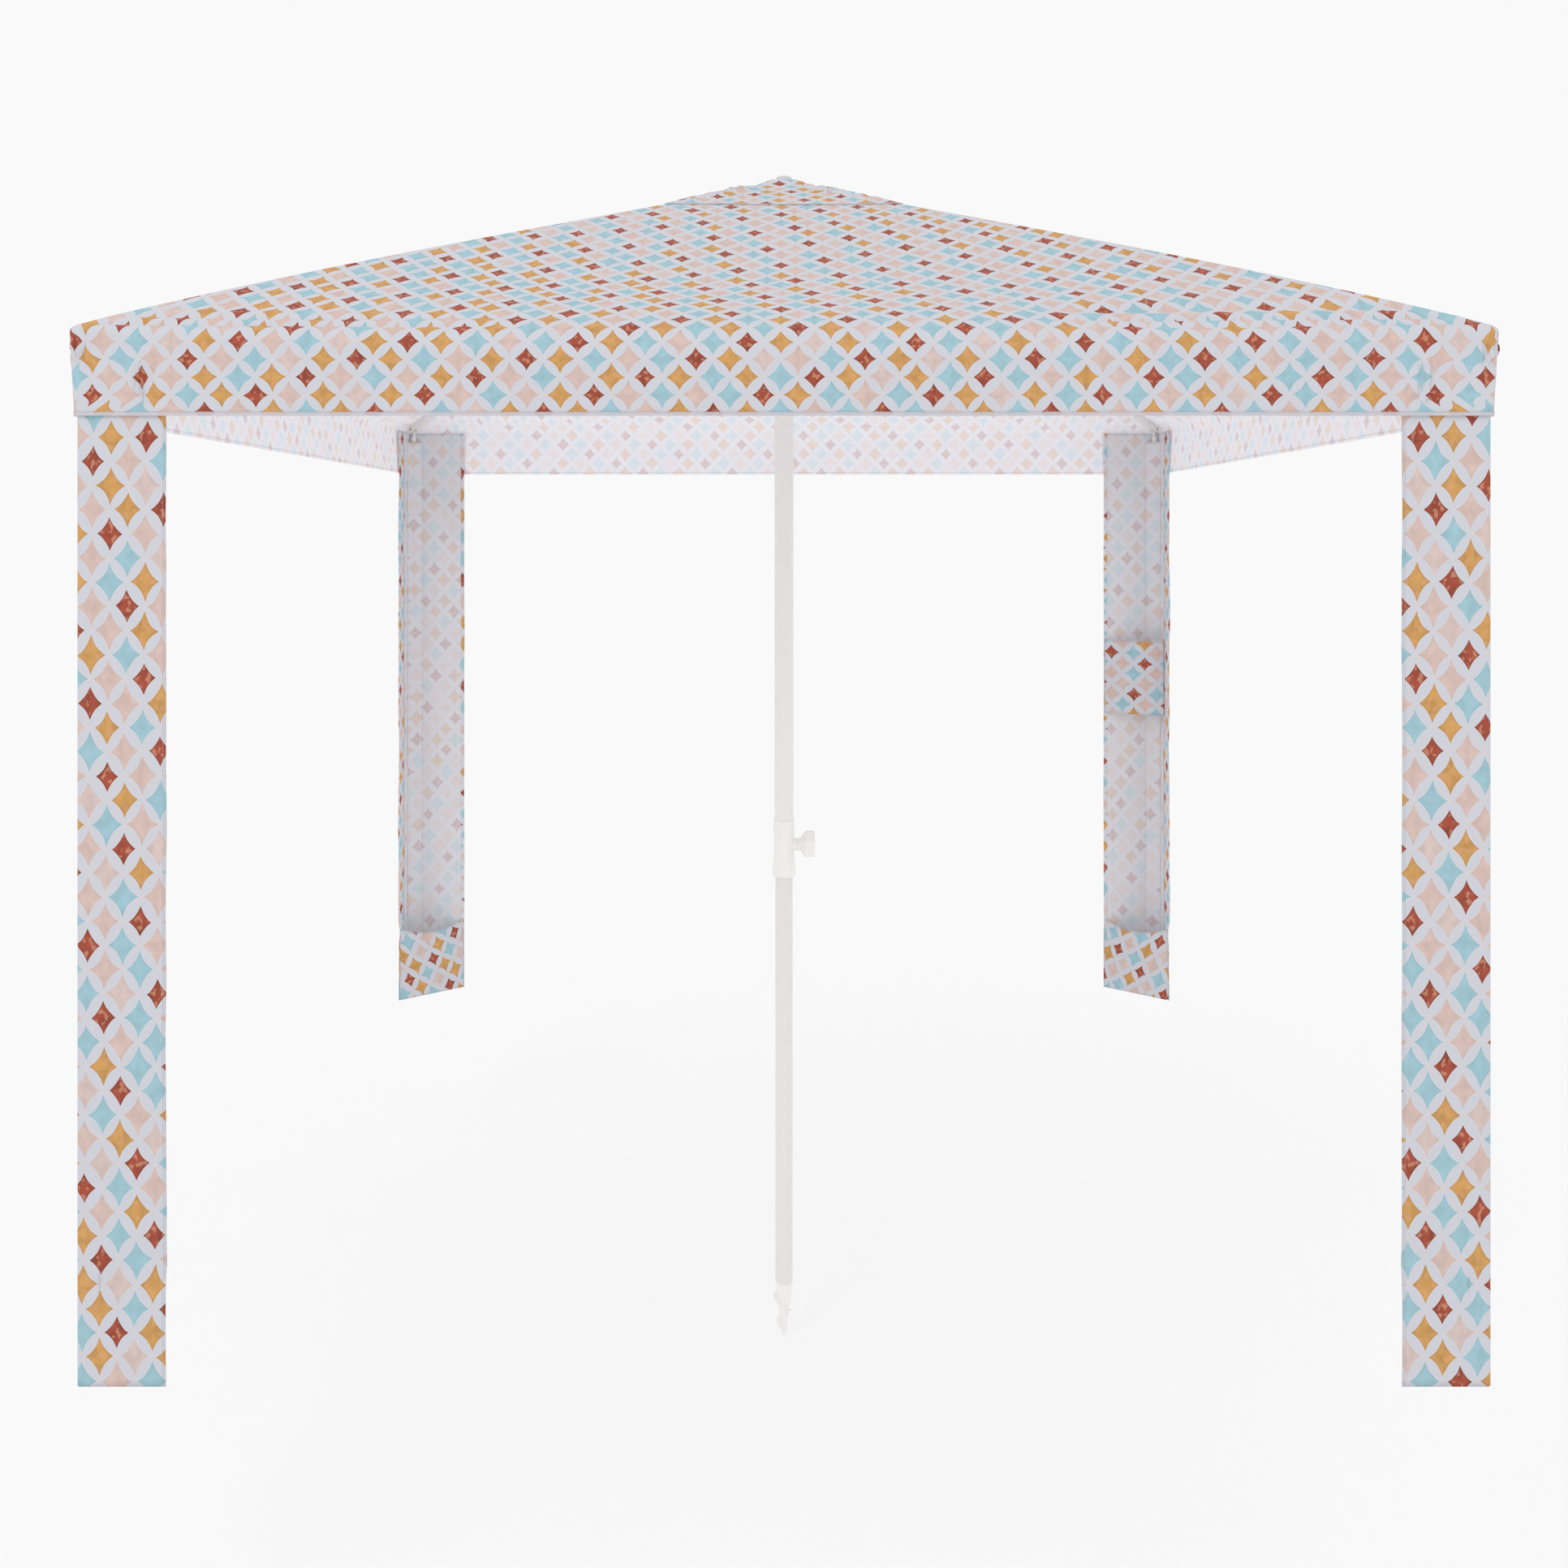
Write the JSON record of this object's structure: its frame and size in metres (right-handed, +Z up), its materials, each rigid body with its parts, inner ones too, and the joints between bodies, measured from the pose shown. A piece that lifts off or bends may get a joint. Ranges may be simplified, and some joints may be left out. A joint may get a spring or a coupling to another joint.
{
  "type": "beach tent",
  "caption": "Square beach tent: a patterned cloth canopy with a straight valance on folding ribs, one screw-in pole, and cloth-covered corner legs with sand pockets.",
  "frame": {"origin": "on the centre pole's axis at ground level, where the four legs stand", "axes": "+Z up along the pole, -Y the side that the picture shows, +X its right"},
  "size_m": [1.997, 1.997, 2.3437],
  "materials": {
    "white_enamel": "satin",
    "white_plastic": "satin",
    "grey_plastic": "matt",
    "white_rod": "matt",
    "steel": "brushed",
    "printed_cloth": "printed weave",
    "cap_cloth": "printed weave",
    "pocket_cloth": "printed weave"
  },
  "bodies": {
    "ground_pole": {"lower_tube": "white_enamel", "tube_plug": "grey_plastic", "sand_auger": "white_plastic"},
    "mast": {"upper_tube": "white_enamel", "joiner_collar": "white_plastic", "top_hub": "white_plastic", "hub_ring": "steel", "finial_cap": "white_plastic", "vent_cap": "cap_cloth", "roof_front": "printed_cloth", "roof_right": "printed_cloth", "roof_back": "printed_cloth", "roof_left": "printed_cloth", "valance_front": "printed_cloth", "valance_right": "printed_cloth", "valance_back": "printed_cloth", "valance_left": "printed_cloth"},
    "knob": {"clamp_knob": "white_plastic", "clamp_screw": "steel"},
    "runner": {"runner": "white_plastic"},
    "catch": {"runner_catch": "steel"},
    "rib_front_left": {"rib_front_left": "white_rod", "strut_clip_front_left": "grey_plastic", "corner_bracket_front_left": "white_plastic", "strut_pin_front_left": "steel", "leg_pin_front_left": "steel"},
    "strut_front_left": {"strut_front_left": "white_rod"},
    "leg_front_left": {"leg_pole_front_left": "white_rod", "leg_cover_front_left": "printed_cloth", "sand_pocket_front_left": "pocket_cloth"},
    "rib_front_right": {"rib_front_right": "white_rod", "strut_clip_front_right": "grey_plastic", "corner_bracket_front_right": "white_plastic", "strut_pin_front_right": "steel", "leg_pin_front_right": "steel"},
    "strut_front_right": {"strut_front_right": "white_rod"},
    "leg_front_right": {"leg_pole_front_right": "white_rod", "leg_cover_front_right": "printed_cloth", "sand_pocket_front_right": "pocket_cloth"},
    "rib_back_left": {"rib_back_left": "white_rod", "strut_clip_back_left": "grey_plastic", "corner_bracket_back_left": "white_plastic", "strut_pin_back_left": "steel", "leg_pin_back_left": "steel"},
    "strut_back_left": {"strut_back_left": "white_rod"},
    "leg_back_left": {"leg_pole_back_left": "white_rod", "leg_cover_back_left": "printed_cloth", "sand_pocket_back_left": "pocket_cloth"},
    "rib_back_right": {"rib_back_right": "white_rod", "strut_clip_back_right": "grey_plastic", "corner_bracket_back_right": "white_plastic", "strut_pin_back_right": "steel", "leg_pin_back_right": "steel"},
    "strut_back_right": {"strut_back_right": "white_rod"},
    "leg_back_right": {"leg_pole_back_right": "white_rod", "leg_cover_back_right": "printed_cloth", "sand_pocket_back_right": "pocket_cloth", "storage_pocket": "pocket_cloth"}
  },
  "joints": [
    {"name": "mast_slide", "type": "slide", "parent": "ground_pole", "child": "mast", "axis": [0, 0, 1], "range_m": [-0.6, 0.15]},
    {"name": "knob_turn", "type": "hinge", "parent": "mast", "child": "knob", "pos_m": [0.027, 0, 0.568], "axis": [1, 0, 0], "range_deg": [-360, 360]},
    {"name": "catch_press", "type": "slide", "parent": "mast", "child": "catch", "axis": [0, -1, 0], "range_m": [0, 0.006], "stiffness_N_per_m": 600},
    {"name": "runner_slide", "type": "slide", "parent": "mast", "child": "runner", "axis": [0, 0, 1], "range_m": [-0.7294, 0], "deforming": ["runner_catch"]},
    {"name": "rib_front_left_fold", "type": "hinge", "parent": "mast", "child": "rib_front_left", "pos_m": [-0.02475, -0.02475, 1.872], "axis": [0.7071, -0.7071, 0], "range_deg": [0, 62]},
    {"name": "strut_front_left_fold", "type": "hinge", "parent": "rib_front_left", "child": "strut_front_left", "pos_m": [-0.3783, -0.3783, 1.72692], "axis": [0.7071, -0.7071, 0], "range_deg": [-124.1, 0]},
    {"name": "leg_front_left_fold", "type": "hinge", "parent": "rib_front_left", "child": "leg_front_left", "pos_m": [-0.9797, -0.9797, 1.47563], "axis": [0.7071, -0.7071, 0], "range_deg": [-62.1, 0]},
    {"name": "rib_front_right_fold", "type": "hinge", "parent": "mast", "child": "rib_front_right", "pos_m": [0.02475, -0.02475, 1.872], "axis": [0.7071, 0.7071, 0], "range_deg": [0, 62]},
    {"name": "strut_front_right_fold", "type": "hinge", "parent": "rib_front_right", "child": "strut_front_right", "pos_m": [0.3783, -0.3783, 1.72692], "axis": [0.7071, 0.7071, 0], "range_deg": [-124.1, 0]},
    {"name": "leg_front_right_fold", "type": "hinge", "parent": "rib_front_right", "child": "leg_front_right", "pos_m": [0.9797, -0.9797, 1.47563], "axis": [0.7071, 0.7071, 0], "range_deg": [-62.1, 0]},
    {"name": "rib_back_left_fold", "type": "hinge", "parent": "mast", "child": "rib_back_left", "pos_m": [-0.02475, 0.02475, 1.872], "axis": [-0.7071, -0.7071, 0], "range_deg": [0, 62]},
    {"name": "strut_back_left_fold", "type": "hinge", "parent": "rib_back_left", "child": "strut_back_left", "pos_m": [-0.3783, 0.3783, 1.72692], "axis": [-0.7071, -0.7071, 0], "range_deg": [-124.1, 0]},
    {"name": "leg_back_left_fold", "type": "hinge", "parent": "rib_back_left", "child": "leg_back_left", "pos_m": [-0.9797, 0.9797, 1.47563], "axis": [-0.7071, -0.7071, 0], "range_deg": [-62.1, 0]},
    {"name": "rib_back_right_fold", "type": "hinge", "parent": "mast", "child": "rib_back_right", "pos_m": [0.02475, 0.02475, 1.872], "axis": [-0.7071, 0.7071, 0], "range_deg": [0, 62]},
    {"name": "strut_back_right_fold", "type": "hinge", "parent": "rib_back_right", "child": "strut_back_right", "pos_m": [0.3783, 0.3783, 1.72692], "axis": [-0.7071, 0.7071, 0], "range_deg": [-124.1, 0]},
    {"name": "leg_back_right_fold", "type": "hinge", "parent": "rib_back_right", "child": "leg_back_right", "pos_m": [0.9797, 0.9797, 1.47563], "axis": [-0.7071, 0.7071, 0], "range_deg": [-62.1, 0]}
  ],
  "couplings": [
    {"joint": "strut_front_left_fold", "follows": "rib_front_left_fold", "ratio": -2},
    {"joint": "leg_front_left_fold", "follows": "rib_front_left_fold", "ratio": -1},
    {"joint": "rib_front_right_fold", "follows": "rib_front_left_fold", "ratio": 1},
    {"joint": "strut_front_right_fold", "follows": "rib_front_left_fold", "ratio": -2},
    {"joint": "leg_front_right_fold", "follows": "rib_front_left_fold", "ratio": -1},
    {"joint": "rib_back_left_fold", "follows": "rib_front_left_fold", "ratio": 1},
    {"joint": "strut_back_left_fold", "follows": "rib_front_left_fold", "ratio": -2},
    {"joint": "leg_back_left_fold", "follows": "rib_front_left_fold", "ratio": -1},
    {"joint": "rib_back_right_fold", "follows": "rib_front_left_fold", "ratio": 1},
    {"joint": "strut_back_right_fold", "follows": "rib_front_left_fold", "ratio": -2},
    {"joint": "leg_back_right_fold", "follows": "rib_front_left_fold", "ratio": -1},
    {"joint": "runner_slide", "follows": "rib_front_left_fold", "m_per_rad": -0.6737}
  ]
}
